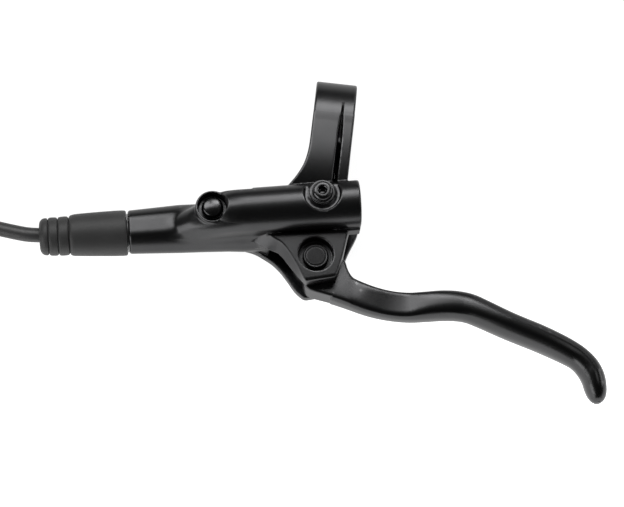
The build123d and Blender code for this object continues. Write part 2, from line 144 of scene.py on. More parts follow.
# tie: a band drawn tight round the turns where they cross the line at 215 degrees
TIE_DIR = Vector((math.cos(math.radians(215.0)), math.sin(math.radians(215.0)), 0.0))
TIE_SIDE = Vector((-TIE_DIR.y, TIE_DIR.x, 0.0))
TIE_C = Vector((COIL[0] * 0.001, COIL[1] * 0.001, 0.0))
held = [((q - TIE_C).dot(TIE_DIR), q.z) for q in HOSE_PATH if abs((q - TIE_C).dot(TIE_SIDE)) < 0.0024 and (q - TIE_C).dot(TIE_DIR) > 0.0]
tie_v, tie_f, TIE_N = [], [], 72
for wide, gap in ((-0.002, 0.00006), (-0.002, 0.0006), (0.002, 0.0006), (0.002, 0.00006)):
    for k in range(TIE_N):
        c, sn = math.cos(2 * math.pi * k / TIE_N), math.sin(2 * math.pi * k / TIE_N)
        a, z = max(held, key=lambda h: h[0] * c + h[1] * sn)
        tie_v.append(TIE_C + TIE_DIR * (a + c * (HOSE_R + gap)) + TIE_SIDE * wide + Vector((0.0, 0.0, z + sn * (HOSE_R + gap))))
for j in range(4):
    for k in range(TIE_N):
        l, m = (k + 1) % TIE_N, (j + 1) % 4
        tie_f.append((j * TIE_N + k, m * TIE_N + k, m * TIE_N + l, j * TIE_N + l))
me = bpy.data.meshes.new("tie_band")
me.from_pydata([tuple(v) for v in tie_v], [], tie_f)
tie_ob = bpy.data.objects.new("tie_band", me)
scene.collection.objects.link(tie_ob)
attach(tie_ob, "body")
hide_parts("hose_tie")

# ---------------------------------------------------------------------------
# signed distance helpers (mm)
# ---------------------------------------------------------------------------


def smin(a, b, k):
    h = np.maximum(k - np.abs(a - b), 0.0)
    return np.minimum(a, b) - h * h * (0.25 / k)


def smax(a, b, k):
    h = np.maximum(k - np.abs(a - b), 0.0)
    return np.maximum(a, b) + h * h * (0.25 / k)


def outline(pts):
    """Closed plan outline with rounded corners; a third number limits the corner's size."""
    out, n = [], len(pts)
    for i in range(n):
        p = np.array(pts[i][:2], float)
        va = np.array(pts[i - 1][:2], float) - p
        vb = np.array(pts[(i + 1) % n][:2], float) - p
        la, lb = np.linalg.norm(va), np.linalg.norm(vb)
        d = 0.48 * min(la, lb)
        if len(pts[i]) > 2:
            d = min(d, pts[i][2])
        a, b = p + va / la * d, p + vb / lb * d
        for u in (0.0, 0.25, 0.5, 0.75, 1.0):
            out.append(tuple((1 - u) ** 2 * a + 2 * u * (1 - u) * p + u * u * b))
    return out


def poly(x, y, pts):
    d, inside = None, False
    for i in range(len(pts)):
        ax, ay = pts[i - 1]
        bx, by = pts[i]
        ex, ey = bx - ax, by - ay
        ll = ex * ex + ey * ey
        if ll < 1e-10:
            continue
        wx, wy = x - ax, y - ay
        h = np.clip((wx * ex + wy * ey) / ll, 0.0, 1.0)
        q = (wx - ex * h) ** 2 + (wy - ey * h) ** 2
        d = q if d is None else np.minimum(d, q)
        if ey != 0.0:
            inside = inside ^ (((ay > y) != (by > y)) & (x < ex * (y - ay) / ey + ax))
    d = np.sqrt(d)
    return np.where(inside, -d, d)


def slab(v, a, b):
    return np.maximum(a - v, v - b)


def smooth_profile(pts, deg):
    """Smooth height profile through points, straight beyond its ends."""
    p = np.array(pts, float)
    c = np.polyfit(p[:, 0], p[:, 1], deg)
    dc = np.polyder(c)
    lo, hi = p[:, 0].min(), p[:, 0].max()

    def f(v):
        w = np.clip(v, lo, hi)
        return np.polyval(c, w) + (v - w) * np.polyval(dc, w)
    return f


def mesh_of(name, field, lo, hi, step, adapt=0.0, rounds=3):
    """Polygon mesh of the surface where field is zero, its points moved onto the surface, its normals from the field."""
    lo = np.array(lo, float)
    n = (np.ceil((np.array(hi, float) - lo) / step) + 1).astype(int)
    gx, gy, gz = (lo[i] + step * np.arange(n[i]) for i in range(3))
    v = field(gx[:, None, None], gy[None, :, None], gz[None, None, :])
    v = np.ascontiguousarray(np.clip(np.broadcast_to(v, n), -4 * step, 4 * step), np.float32)
    grid = openvdb.FloatGrid(4 * step)
    grid.copyFromArray(v)
    pts, tris, quads = grid.convertToPolygons(0.0, adapt)
    p = lo + np.asarray(pts, float) * step
    e = 0.02

    def grad(q):
        g = np.empty_like(q)
        for i in range(3):
            d = np.zeros(3)
            d[i] = e
            a, b = q + d, q - d
            g[:, i] = (field(a[:, 0], a[:, 1], a[:, 2]) - field(b[:, 0], b[:, 1], b[:, 2])) / (2 * e)
        return g
    for _ in range(rounds):
        f = field(p[:, 0], p[:, 1], p[:, 2])
        g = grad(p)
        m = np.clip(f / np.maximum((g * g).sum(1), 0.2), -0.5 * step, 0.5 * step)
        p = p - g * m[:, None]
    g = grad(p)
    nrm = g / np.maximum(np.linalg.norm(g, axis=1), 1e-6)[:, None]
    quads = np.asarray(quads, np.int64).reshape(-1, 4)
    tris = np.asarray(tris, np.int64).reshape(-1, 3)
    # a lone point whose normal turns away from neighbours that agree takes theirs
    ring, count = np.zeros_like(nrm), np.zeros(len(p))
    for f in (quads, tris):
        for k in range(f.shape[1]):
            for j in (k - 1, (k + 1) % f.shape[1]):
                count += np.bincount(f[:, k], minlength=len(p))
                for i in range(3):
                    ring[:, i] += np.bincount(f[:, k], weights=nrm[f[:, j], i], minlength=len(p))
    ring /= np.maximum(count, 1.0)[:, None]
    size = np.linalg.norm(ring, axis=1)
    odd = (size > 0.985) & ((nrm * ring).sum(1) < 0.985 * size)
    nrm[odd] = ring[odd] / size[odd][:, None]
    # faces turn outwards
    q = quads if len(quads) else tris
    a, b, c = p[q[:, 0]], p[q[:, 1]], p[q[:, 2]]
    if (np.cross(b - a, c - a) * nrm[q[:, 0]]).sum() < 0:
        quads, tris = quads[:, ::-1], tris[:, ::-1]
    corners = np.concatenate([quads.ravel(), tris.ravel()]).astype(np.int32)
    starts = np.concatenate([4 * np.arange(len(quads)), 4 * len(quads) + 3 * np.arange(len(tris))]).astype(np.int32)
    me = bpy.data.meshes.new(name)
    me.vertices.add(len(p))
    me.vertices.foreach_set("co", (p * 0.001).astype(np.float32).ravel())
    me.loops.add(len(corners))
    me.loops.foreach_set("vertex_index", corners)
    me.polygons.add(len(starts))
    me.polygons.foreach_set("loop_start", starts)
    me.update(calc_edges=True)
    me.polygons.foreach_set("use_smooth", np.ones(len(starts), bool))
    me.validate()
    me.normals_split_custom_set_from_vertices([tuple(v) for v in nrm])
    ob = bpy.data.objects.new(name, me)
    scene.collection.objects.link(ob)
    print(name, len(p), "points", len(quads) * 2 + len(tris), "triangles")
    return ob


# ---------------------------------------------------------------------------
# body casting
# ---------------------------------------------------------------------------
EAR_H = 9.5
EAR_OUT = outline([(-26.0, -42.5), (-21.5, -46.0), (-18.2, -47.7), (-16.0, -48.2), (-14.3, -48.6), (-12.3, -50.1), (-9.9, -52.9), (-7.6, -55.2),
                   (-6.0, -56.8), (-4.4, -58.3), (-3.6, -58.9, 0.8), (6.4, -56.1, 0.8), (7.9, -49.3), (8.7, -42.0), (9.6, -36.0, 1.0), (-20.0, -38.0, 1.0)])
EAR_TOP = outline([(-19.5, -41.5), (-17.5, -43.8), (-15.5, -45.0), (-13.75, -45.7), (-11.9, -47.25), (-9.96, -49.55), (-8.0, -52.2), (-6.0, -55.2),
                   (-4.33, -58.2), (-3.75, -58.8, 0.7), (6.1, -56.0, 0.7), (7.63, -49.3), (8.44, -42.0), (9.3, -36.0, 1.0), (-14.0, -38.0, 1.0)])
EAR_LOW = outline([(-27.5, -44.7), (-24.4, -45.0), (-21.6, -45.6), (-18.7, -47.0), (-15.8, -48.5), (-12.7, -51.0), (-9.7, -54.4),
                   (-6.8, -58.0), (-3.5, -60.2, 1.2), (6.6, -57.2, 1.2), (9.2, -44.1), (10.3, -40.6), (11.6, -37.4), (12.6, -34.0), (12.0, -28.4, 1.5),
                   (-20.0, -33.0, 2.0), (-27.0, -38.0, 2.0)])
ARM_PLAN = outline([(-7.3, 8.0, 0.5), (-7.45, -4.3), (-7.6, -13.5), (-8.7, -19.1), (-11.2, -23.7), (-13.9, -27.1), (-15.8, -34.0, 1.0),
                    (2.05, -34.0, 0.5), (2.05, 8.0, 0.5)])
arm_z = smooth_profile([(0.0, 16.12), (-4.0, 16.05), (-8.0, 15.95), (-12.0, 15.75), (-16.0, 15.4), (-20.0, 14.75), (-24.0, 13.6), (-28.0, 11.8)], 5)
strip_z = smooth_profile([(0.0, 16.12), (-4.0, 16.02), (-8.0, 15.85), (-12.0, 15.5), (-16.0, 15.0), (-20.0, 14.2), (-24.0, 13.1), (-28.0, 11.6)], 5)


def casting(x, y, z):
    s, t = loc(x, y)
    ax = np.hypot(t, z)
    # cylinder tube, tapered to the hose end, with a flat along its top
    rt = np.interp(s, [-62.4, -45.0, -36.8, -28.6, -24.0, -10.0], [7.39, 8.2, 8.25, 8.4, 8.75, 8.75])
    tc = np.interp(s, [-62.4, -45.0, -36.8, -28.6, -10.0], [0.25, 0.46, 0.33, 0.2, 0.2])
    tube = smax(np.hypot(t - tc, z) - rt, z - (rt - 0.62), 0.45)
    tube = smax(tube, -62.4 - s, 0.9)
    tube = np.maximum(tube, s + 12.0)
    # reservoir, a little wider to the right, its left end rising from the tube as a blunt nose
    tb = np.interp(s, [-48.0, -41.0, -37.0, -33.0, -29.0, 16.0], [4.8, 5.7, 7.0, 8.4, 9.05, 9.97])
    rr = 0.5 * (tb + 6.05)
    rc = rr - 6.05
    rho = np.hypot(t - rc, z - 11.5)
    side = np.hypot(t - rc, np.maximum(z - 11.5, 0.0))
    q = np.maximum((-34.2 - s + 1.25 * np.clip(z - 7.0, -1.0, 9.0)) / 14.0, 0.0) ** 2.3
    wall = rr * ((q + (side / rr) ** 2.3) ** (1 / 2.3) - 1.0) * 0.8
    wall = np.maximum(wall, -1.0 - z)
    wall = smax(smax(wall, s - 15.9, 0.8), t - 8.4, 1.0)
    res = smax(np.maximum(rho - rr, -20.0 - s), s - 15.9, 0.8)
    pl = np.hypot(s + 33.9, t - 2.4)
    boss = smax(np.hypot(s + 33.9, t - 2.3) - 5.8, np.maximum(z - 15.5, 4.0 - z), 0.8)
    # upper ear with its lip under the reservoir, and the lower ear
    f = np.clip((EAR_H - z) / (EAR_H - 4.75), 0.0, 1.0)
    up = poly(x, y, EAR_TOP) * (1.0 - f) + poly(x, y, EAR_OUT) * f
    front = 0.2731 * (x + 3.75) - 0.9620 * (y + 58.8)
    up = smax(up, (front + z - EAR_H + 0.5) * 0.7071, 0.3)
    tf = np.interp(s, [-14.0, -10.0, -5.0, 0.0, 3.0, 6.0, 9.0, 15.0], [-5.75, -6.15, -6.4, -6.5, -6.45, -6.1, -5.8, -5.5])
    lip = np.maximum(np.maximum(tf - 1.15 - t, t), slab(s, -16.0, 15.6))
    up = np.minimum(up, lip)
    up = smax(np.maximum(up, 2.0 - z), z - EAR_H, 0.5)
    low = smax(poly(x, y, EAR_LOW), np.abs(z + 6.6) - 1.9, 0.9)
    low = np.minimum(low, np.maximum(poly(x, y, EAR_LOW) + 1.0, slab(z, -6.0, 2.0)))
    # hollow under the reservoir, behind the lip
    hollow = np.maximum(np.maximum(smax(tf - t, 5.6 - z, 0.6), t + 2.6), slab(s, -16.5, 14.2))
    web = smax(np.minimum(wall, up), -hollow, 0.4)
    body = smin(tube, web, np.interp(s, [-40.0, -30.0, -20.0, -12.0], [1.0, 0.8, 1.2, 2.0]))
    body = np.minimum(smin(body, boss, 0.5), res)
    body = smin(body, low, 1.2)
    # lever slot
    slot1 = np.maximum(np.maximum(slab(s, -15.0, 40.0), slab(t, -60.0, 7.0)), np.abs(z) - 4.75)
    slot2 = np.maximum(np.maximum(slab(s, -22.0, -14.0), slab(t, -60.0, -8.95)), np.abs(z) - 4.75)
    # clamp: ring, arm, strip beside the arm, free lip
    ry = np.hypot(y, z)
    ring = smax(np.hypot(y - 0.35, z - 0.3) - 15.9, np.abs(x + 0.3) - 7.0, 0.8)
    top = (z - arm_z(y)) * 0.97
    arm = smax(poly(x, y, ARM_PLAN), np.maximum(top, y - 0.3), 0.9)
    xc = np.interp(y, [-26.0, 3.0], [0.95, 1.95])
    arm = smax(arm, (z - arm_z(y) + (x - xc) * 0.9) * 0.74, 0.3)
    arm = smax(arm, -3.0 - z, 0.6)
    strip = smax(np.maximum(slab(x, 2.75, 6.7), slab(y, -32.0, 0.3)), (z - strip_z(y)) * 0.97, 0.7)
    strip = smax(strip, -3.0 - z, 0.6)
    low_lip = smax(smax(np.abs(x + 0.3) - 7.0, slab(y, -24.6, -6.0), 1.6), slab(z, -13.6, -6.0), 1.0)
    clamp = smin(smin(ring, arm, 0.25), strip, 0.25)
    deep = np.clip((4.6 - y) / 12.0, 0.0, 1.0)
    floor_z = np.where(y > 0, 0.3 + np.sqrt(np.maximum(252.8 - (y - 0.35) ** 2, 100.0)), strip_z(y)) - 2.8 * deep
    groove = np.maximum(np.abs(x - 2.4) - 0.10 - 0.40 * deep - 0.10 * (z - floor_z), floor_z - z)
    clamp = smax(clamp, -np.maximum(groove, y - 4.6), 0.3)
    clamp = smin(clamp, low_lip, 1.5)
    clamp = smax(clamp, 11.1 - ry, 0.5)
    clamp = smax(clamp, -np.maximum(slab(z, -6.0, -3.0), slab(y, -27.2, -5.0)), 0.3)
    bolt = np.hypot(x, y + 18.9)
    clamp = smax(clamp, -np.maximum(bolt - 2.75, z - 5.0), 0.2)
    clamp = smax(clamp, -np.maximum(bolt - 4.5, z + 10.4), 0.3)
    body = smax(smax(body, 11.1 - ry, 0.3), -np.maximum(slab(z, -6.0, -3.0), slab(y, -27.2, -5.0)), 0.3)
    body = smin(body, clamp, 0.6)
    body = smax(body, -slot1, 0.35)
    body = smax(body, -slot2, 0.35)
    # plug recess, bleed spot face, pivot recesses and hole
    body = smax(body, -smax(pl - 5.0, 11.8 - z, 0.5), 0.5)
    body = smax(body, -np.maximum(pl - 3.05, slab(z, 8.9, 14.0)), 0.1)
    bl = np.hypot(s - 3.1, t - 4.2)
    body = smax(body, -smax(bl - 6.3, 17.0 - z + 0.5 * np.maximum(5.2 - bl, 0.0), 0.8), 0.6)
    pv = np.hypot(x - PX, y - PY)
    body = smax(body, -smax(pv - 5.9, 5.6 - z, 0.4), 0.5)
    body = smax(body, -smax(pv - 5.2, z + 6.9, 0.4), 0.4)
    body = np.maximum(body, 3.05 - pv)
    # bores
    body = smax(body, -np.maximum(ax - 4.75, slab(s, -46.0, -10.0)), 0.2)
    body = smax(body, -np.maximum(ax - 4.1, slab(s, -70.0, -50.0)), 0.3)
    bore = np.hypot(t - 1.75, z - 11.5)
    body = smax(body, -np.maximum(bore - 6.3, 14.2 - s), 0.3)
    body = np.maximum(body, -np.maximum(bore - 5.0, slab(s, -20.0, 20.0)))
    return body


body_ob = mesh_of("body_casting", casting, (-68.0, -61.5, -16.6), (21.0, 17.9, 20.7), 0.40)
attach(body_ob, "body")
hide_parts("lever_body")

# ---------------------------------------------------------------------------
# lever blade
# ---------------------------------------------------------------------------
BLADE = np.array([
    (7.0, -56.9, 10.6, 8.9, 4.0), (12.85, -58.8, 9.9, 9.3, 3.5), (19.1, -60.4, 9.75, 10.0, 3.0), (25.6, -61.2, 9.65, 10.5, 2.7),
    (32.0, -61.05, 9.7, 11.0, 2.6), (37.6, -60.1, 9.8, 11.5, 2.5), (42.9, -59.1, 9.9, 12.0, 2.4), (47.9, -58.65, 9.8, 12.5, 2.3),
    (52.3, -59.0, 9.6, 12.9, 2.2), (56.9, -60.4, 9.2, 13.2, 2.2), (64.8, -63.2, 8.9, 13.2, 2.2), (70.2, -64.9, 8.8, 13.2, 2.2),
    (75.6, -66.5, 8.75, 13.1, 2.2), (80.9, -68.3, 8.6, 12.9, 2.2), (86.0, -70.25, 8.4, 12.2, 2.2), (90.3, -72.35, 8.2, 11.4, 2.1),
    (93.6, -75.2, 8.4, 11.6, 2.0), (95.75, -78.5, 8.2, 12.2, 2.0), (96.9, -82.0, 7.7, 11.4, 2.0), (97.5, -84.4, 6.7, 9.6, 2.0),
    (97.75, -86.0, 5.1, 7.2, 2.0), (97.85, -86.75, 3.7, 5.2, 2.0), (97.9, -87.1, 2.5, 3.5, 2.0)])


def through(rows, per):
    """Smooth curve through the rows, per steps between neighbours."""
    out = []
    n = len(rows)
    for i in range(n - 1):
        a, b, c, d = rows[max(i - 1, 0)], rows[i], rows[i + 1], rows[min(i + 2, n - 1)]
        for k in range(per):
            u = k / per
            out.append(0.5 * (2 * b + (c - a) * u + (2 * a - 5 * b + 4 * c - d) * u * u + (3 * b - a - 3 * c + d) * u ** 3))
    out.append(rows[-1])
    return np.array(out)


SPINE = through(BLADE, 7)
# flat along the top of the root: along, across, height, tilt
FACET = through(np.array([
    (5.0, -2.6, 4.4, 8.0), (9.1, -2.75, 4.33, 8.0), (12.7, -3.07, 4.23, 7.0), (16.3, -3.35, 4.11, 2.5), (19.9, -3.45, 4.01, 2.2),
    (24.2, -3.56, 3.81, 2.6), (27.6, -3.53, 3.83, 4.0), (31.2, -3.34, 4.08, 6.5), (34.4, -2.66, 4.75, 8.0), (38.1, -1.45, 5.29, 9.0),
    (41.9, -0.54, 5.50, 10.0), (45.8, 0.51, 5.65, 10.0), (49.1, 1.33, 5.80, 10.0), (53.0, 2.2, 6.2, 10.0), (57.0, 3.0, 6.7, 10.0),
    (61.0, 3.6, 7.4, 10.0), (66.0, 4.0, 8.6, 10.0), (72.0, 4.0, 11.0, 10.0)]), 5)
ROOT = outline([(-4.8, -54.0, 1.0), (-4.4, -57.8), (-3.2, -59.6), (-0.6, -60.4), (8.6, -61.8), (12.0, -62.3, 0.4), (12.0, -54.9, 3.0),
                (11.2, -52.6, 3.0), (9.9, -50.4), (9.0, -47.7), (6.4, -44.9, 1.0), (-1.3, -48.8, 0.5)])


def blade(x, y, z):
    s, t = loc(x, y)
    shape = np.broadcast(x, y).shape
    best = np.full(shape, 1e9)
    u = np.zeros(shape)
    across = np.zeros(shape)
    al = np.zeros(shape)
    par = np.zeros(shape)
    for i in range(len(SPINE) - 1):
        a, b = SPINE[i], SPINE[i + 1]
        ex, ey = b[0] - a[0], b[1] - a[1]
        ll = math.hypot(ex, ey)
        ex, ey = ex / ll, ey / ll
        wx, wy = x - a[0], y - a[1]
        h0 = (wx * ex + wy * ey) / ll
        h = np.clip(h0, 0.0, 1.0)
        d = (wx - ex * ll * h) ** 2 + (wy - ey * ll * h) ** 2
        near = d < best
        best = np.where(near, d, best)
        c = -wx * ey + wy * ex
        u = np.where(near, np.where(c < 0.0, -1.0, 1.0) * np.sqrt(d), u)
        across = np.where(near, c, across)
        al = np.where(near, (h0 - h) * ll, al)
        par = np.where(near, i + h, par)
    idx = np.arange(len(SPINE))
    w, hh, sq = (np.interp(par, idx, SPINE[:, k]) for k in (2, 3, 4))
    px = np.interp(par, idx, SPINE[:, 0])
    e = (np.abs(2 * u / w) ** sq + np.abs(2 * z / hh) ** sq) ** (1.0 / sq)
    past = (par <= 0.0) | (par >= len(SPINE) - 1)
    u = np.where(past, across, u)
    al = np.where(past, al, 0.0)      # rounds the two ends only
    e = np.sqrt(e * e + (al / 0.4) ** 2)
    fing = (e - 1.0) * np.minimum(w, hh) * 0.5
    sx, sy = SPINE[1, 0] - SPINE[0, 0], SPINE[1, 1] - SPINE[0, 1]
    px = np.where(par > 0, px, px + al * sx / math.hypot(sx, sy))
    fu, fz, ta = (np.interp(px, FACET[:, 0], FACET[:, k]) for k in (1, 2, 3))
    ta = np.radians(ta)
    facet = (u - fu) * np.sin(ta) + (z - fz) * np.cos(ta)
    soft = np.interp(px, [8.0, 25.0, 40.0, 50.0], [0.9, 0.9, 1.2, 3.0])
    pv = np.hypot(x - PX, y - PY)
    hub = pv - 7.8
    root = poly(x, y, ROOT)
    cam = np.maximum(np.abs(s) - 4.2, slab(t, -14.4, 2.0))
    cam = np.minimum(cam, np.hypot(s, t - 2.0) - 4.2)
    plate = smin(smin(hub, root, 1.0), cam, 2.0)
    plate = smax(plate, np.abs(z) - 4.5, 0.9)
    rise = np.clip((5.0 - x) / 8.0, 0.0, 1.0)
    d = smin(plate, fing, 1.2)
    d = smax(d, facet - 1.2 * rise * rise * (3.0 - 2.0 * rise), soft)
    d = np.maximum(d, 3.82 - pv)
    d = np.maximum(d, 2.03 - np.hypot(t, z))
    return d


blade_ob = mesh_of("lever_forging", blade, (-11.5, -89.0, -7.0), (100.5, -27.0, 7.0), 0.4)
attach(blade_ob, "lever")
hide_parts("lever_blade")

# ---------------------------------------------------------------------------
# small turned parts
# ---------------------------------------------------------------------------


def hexagon(u, v, flat):
    a = np.maximum(np.abs(u), np.abs(u * 0.5 + v * 0.8660254))
    return np.maximum(a, np.abs(u * 0.5 - v * 0.8660254)) - flat


def bleed(x, y, z):
    s, t = loc(x, y)
    u, v = s - 3.1, t - 4.2
    r = np.hypot(u, v)
    flange = smax(r - 4.4, slab(z, 17.9, 18.95), 0.5)
    head = smax(smax(r - 3.4, slab(z, 18.0, 21.0), 0.9), (r + z - 23.75) * 0.7071, 0.5)
    stem = smax(r - 2.42, slab(z, 15.1, 18.2), 0.3)
    d = smin(smin(flange, head, 0.35), stem, 0.3)
    socket = np.maximum(hexagon(u, v, 1.25), 18.9 - z)
    socket = np.minimum(socket, np.maximum(r - 1.2, 18.9 - 0.5 * (1.2 - r) - z))
    mouth = (r - 1.55 - (z - 20.85)) * 0.7071
    d = smax(d, -socket, 0.12)
    return smax(d, -np.maximum(mouth, z - 22.0), 0.1)


def plug(x, y, z):
    s, t = loc(x, y)
    r = np.hypot(s + 33.9, t - 2.4)
    head = smax(r - 3.7, np.maximum(np.sqrt(r * r + (z - 8.6) ** 2) - 7.4, 11.85 - z), 1.1)
    stem = smax(r - 3.0, slab(z, 9.2, 12.2), 0.3)
    stem = np.maximum(stem, -np.maximum(2.3 - r, slab(z, 10.2, 11.2)))
    return np.minimum(head, stem)


def pin(x, y, z):
    r = np.hypot(x - PX, y - PY)
    head = smax(r - 4.4, slab(z, 5.65, 7.3), 0.3)
    head = smax(head, (r + z - 11.3) * 0.7071, 0.15)
    head = smax(head, -np.maximum(np.abs(r - 3.35) - 0.2, 7.05 - z), 0.15)
    shank = smax(r - 3.0, slab(z, -8.3, 6.0), 0.4)
    shank = np.maximum(shank, -np.maximum(2.4 - r, slab(z, -7.75, -6.95)))
    return np.minimum(head, shank)


bx, by, _ = glob(3.1, 4.2)
bleed_ob = mesh_of("bleed_screw_turned", bleed, (bx - 5.0, by - 5.0, 14.6), (bx + 5.0, by + 5.0, 21.6), 0.13)
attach(bleed_ob, "body")
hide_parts("bleed_screw")
qx, qy, _ = glob(-33.9, 2.4)
plug_ob = mesh_of("port_plug_turned", plug, (qx - 4.4, qy - 4.4, 8.7), (qx + 4.4, qy + 4.4, 17.0), 0.14)
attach(plug_ob, "body")
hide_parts("port_plug")
pin_ob = mesh_of("pivot_pin_turned", pin, (PX - 5.0, PY - 5.0, -8.8), (PX + 5.0, PY + 5.0, 8.1), 0.15)
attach(pin_ob, "body")
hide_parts("pivot_pin")

# ---------------------------------------------------------------------------
# ribbed rubber hose cover, turned about an axis that bends with the hose
# ---------------------------------------------------------------------------
COVER = np.array([(-62.9, 4.9), (-62.95, 6.9), (-63.1, 7.45), (-63.5, 7.68), (-64.5, 7.75), (-67.0, 7.72), (-70.0, 7.62), (-73.0, 7.5), (-76.0, 7.37),
                  (-79.0, 7.22), (-80.8, 7.08), (-81.8, 6.85), (-82.25, 6.5), (-82.45, 6.05), (-82.6, 6.05), (-82.8, 6.4), (-83.3, 6.62), (-84.3, 6.66),
                  (-85.4, 6.6), (-86.0, 6.4), (-86.18, 5.95), (-86.32, 5.95), (-86.5, 6.35), (-87.0, 6.52), (-87.8, 6.55), (-88.7, 6.5), (-89.3, 6.28),
                  (-89.47, 5.85), (-89.6, 5.85), (-89.8, 6.2), (-90.2, 6.35), (-91.0, 6.25), (-91.8, 5.8), (-92.4, 4.9), (-92.6, 3.8), (-92.6, 2.55),
                  (-91.5, 2.52), (-72.5, 2.52), (-72.2, 4.8)])
prof = []
for i in range(len(COVER)):
    a, b, c, d = (COVER[(i + k) % len(COVER)] for k in (-1, 0, 1, 2))
    n = 4 if 1 <= i < 34 else 1
    for k in range(n):
        u = k / n
        prof.append(0.5 * (2 * b + (c - a) * u + (2 * a - 5 * b + 4 * c - d) * u * u + (3 * b - a - 3 * c + d) * u ** 3) if n > 1 else b)
SEG = 96
verts, faces = [], []
for s, r in prof:
    off = np.interp(-s, [62.9, 66.0, 72.0, 80.0, 86.0, 92.6], [0.05, 0.1, 0.2, 0.28, 0.12, 0.3])
    for k in range(SEG):
        a = 2 * math.pi * k / SEG
        gx, gy, _ = glob(s, r * math.cos(a) + off)
        verts.append((gx * 0.001, gy * 0.001, r * math.sin(a) * 0.001))
for i in range(len(prof)):
    j = (i + 1) % len(prof)
    for k in range(SEG):
        l = (k + 1) % SEG
        faces.append((i * SEG + k, i * SEG + l, j * SEG + l, j * SEG + k))
me = bpy.data.meshes.new("hose_boot")
me.from_pydata(verts, [], faces)
me.validate()
me.polygons.foreach_set("use_smooth", np.ones(len(me.polygons), bool))
boot_ob = bpy.data.objects.new("hose_boot", me)
scene.collection.objects.link(boot_ob)
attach(boot_ob, "body")
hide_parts("hose_cover")

# ---------------------------------------------------------------------------
# return spring in the bore, shortened by the piston
# ---------------------------------------------------------------------------
SPRING_R, WIRE_R, SPRING_S0, SPRING_S1, TURNS = 3.35, 0.45, -45.45, -33.95, 5.5
STEPS, WIRE_N = 264, 14
verts, faces = [], []
lead_s = (SPRING_S1 - SPRING_S0) / (2 * math.pi * TURNS)
for i in range(STEPS + 1):
    f = i / STEPS
    a = 2 * math.pi * TURNS * f
    mid = Vector((SPRING_S0 + (SPRING_S1 - SPRING_S0) * f, SPRING_R * math.sin(a), -SPRING_R * math.cos(a)))
    run = Vector((lead_s, SPRING_R * math.cos(a), SPRING_R * math.sin(a))).normalized()
    out = Vector((0.0, math.sin(a), -math.cos(a)))
    over = run.cross(out)
    for k in range(WIRE_N):
        b = 2 * math.pi * k / WIRE_N
        q = mid + (out * math.cos(b) + over * math.sin(b)) * WIRE_R
        gx, gy, _ = glob(q.x, q.y)
        verts.append((gx * 0.001, gy * 0.001, q.z * 0.001))
for i in range(STEPS):
    for k in range(WIRE_N):
        l = (k + 1) % WIRE_N
        faces.append((i * WIRE_N + k, i * WIRE_N + l, (i + 1) * WIRE_N + l, (i + 1) * WIRE_N + k))
faces.append(tuple(range(WIRE_N - 1, -1, -1)))
faces.append(tuple(STEPS * WIRE_N + k for k in range(WIRE_N)))
me = bpy.data.meshes.new("spring_wire")
me.from_pydata(verts, [], faces)
me.polygons.foreach_set("use_smooth", np.array([len(f) == 4 for f in faces], bool))
spring_ob = bpy.data.objects.new("spring_wire", me)
scene.collection.objects.link(spring_ob)
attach(spring_ob, "body")
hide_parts("return_spring")

# ---------------------------------------------------------------------------
# materials
# ---------------------------------------------------------------------------


def nodes_of(name):
    m = bpy.data.materials.new(name)
    m.use_nodes = True
    nt = m.node_tree
    bsdf = nt.nodes["Principled BSDF"]
    return m, nt, bsdf


def link(nt, a, b):
    nt.links.new(a, b)


def ramp(nt, fac, stops):
    n = nt.nodes.new("ShaderNodeValToRGB")
    while len(n.color_ramp.elements) < len(stops):
        n.color_ramp.elements.new(0.5)
    for e, (pos, col) in zip(n.color_ramp.elements, stops):
        e.position = pos
        e.color = (*col, 1.0) if len(col) == 3 else col
    link(nt, fac, n.inputs["Fac"])
    return n.outputs["Color"]


def noise(nt, scale, detail=2.0, rough=0.5, vec=None):
    if vec is None:
        vec = nt.nodes.new("ShaderNodeTexCoord").outputs["Object"]
    n = nt.nodes.new("ShaderNodeTexNoise")
    n.inputs["Scale"].default_value = scale
    n.inputs["Detail"].default_value = detail
    n.inputs["Roughness"].default_value = rough
    link(nt, vec, n.inputs["Vector"])
    return n.outputs["Fac"]


def grey(v, tint=(1.0, 1.0, 1.0)):
    return (v * tint[0], v * tint[1], v * tint[2])


def satin(name, dark, light, edge_highlight, r0, r1, bump=0.05, fine=2600.0, broad=70.0, spec=0.5, metal=0.0, tint=(1.0, 1.0, 1.02), dist=0.00004, rim=1.0):
    """Coated metal: fine grain, broad tone drift, and a lighter colour painted on convex edges as a highlight."""
    m, nt, b = nodes_of(name)
    b.inputs["Metallic"].default_value = metal
    b.inputs["Specular IOR Level"].default_value = spec
    b.inputs["Specular Tint"].default_value = (rim, rim, rim, 1.0)
    big = noise(nt, broad, 3.0, 0.55)
    small = noise(nt, fine, 3.0, 0.6)
    geo = nt.nodes.new("ShaderNodeNewGeometry")
    base = ramp(nt, big, [(0.3, grey(dark, tint)), (0.7, grey(light, tint))])
    # painted highlight: convex edges, found by pointiness, take the lighter edge colour in place of the base tone
    edge_highlight_mask = ramp(nt, geo.outputs["Pointiness"], [(0.515, (0, 0, 0)), (0.58, (1, 1, 1))])
    mix = nt.nodes.new("ShaderNodeMix")
    mix.data_type = "RGBA"
    link(nt, edge_highlight_mask, mix.inputs["Factor"])
    link(nt, base, mix.inputs["A"])
    mix.inputs["B"].default_value = (*grey(edge_highlight, tint), 1.0)
    link(nt, mix.outputs["Result"], b.inputs["Base Color"])
    link(nt, ramp(nt, small, [(0.3, grey(r0)), (0.7, grey(r1))]), b.inputs["Roughness"])
    bp = nt.nodes.new("ShaderNodeBump")
    bp.inputs["Strength"].default_value = bump
    bp.inputs["Distance"].default_value = dist
    link(nt, small, bp.inputs["Height"])
    link(nt, bp.outputs["Normal"], b.inputs["Normal"])
    return m
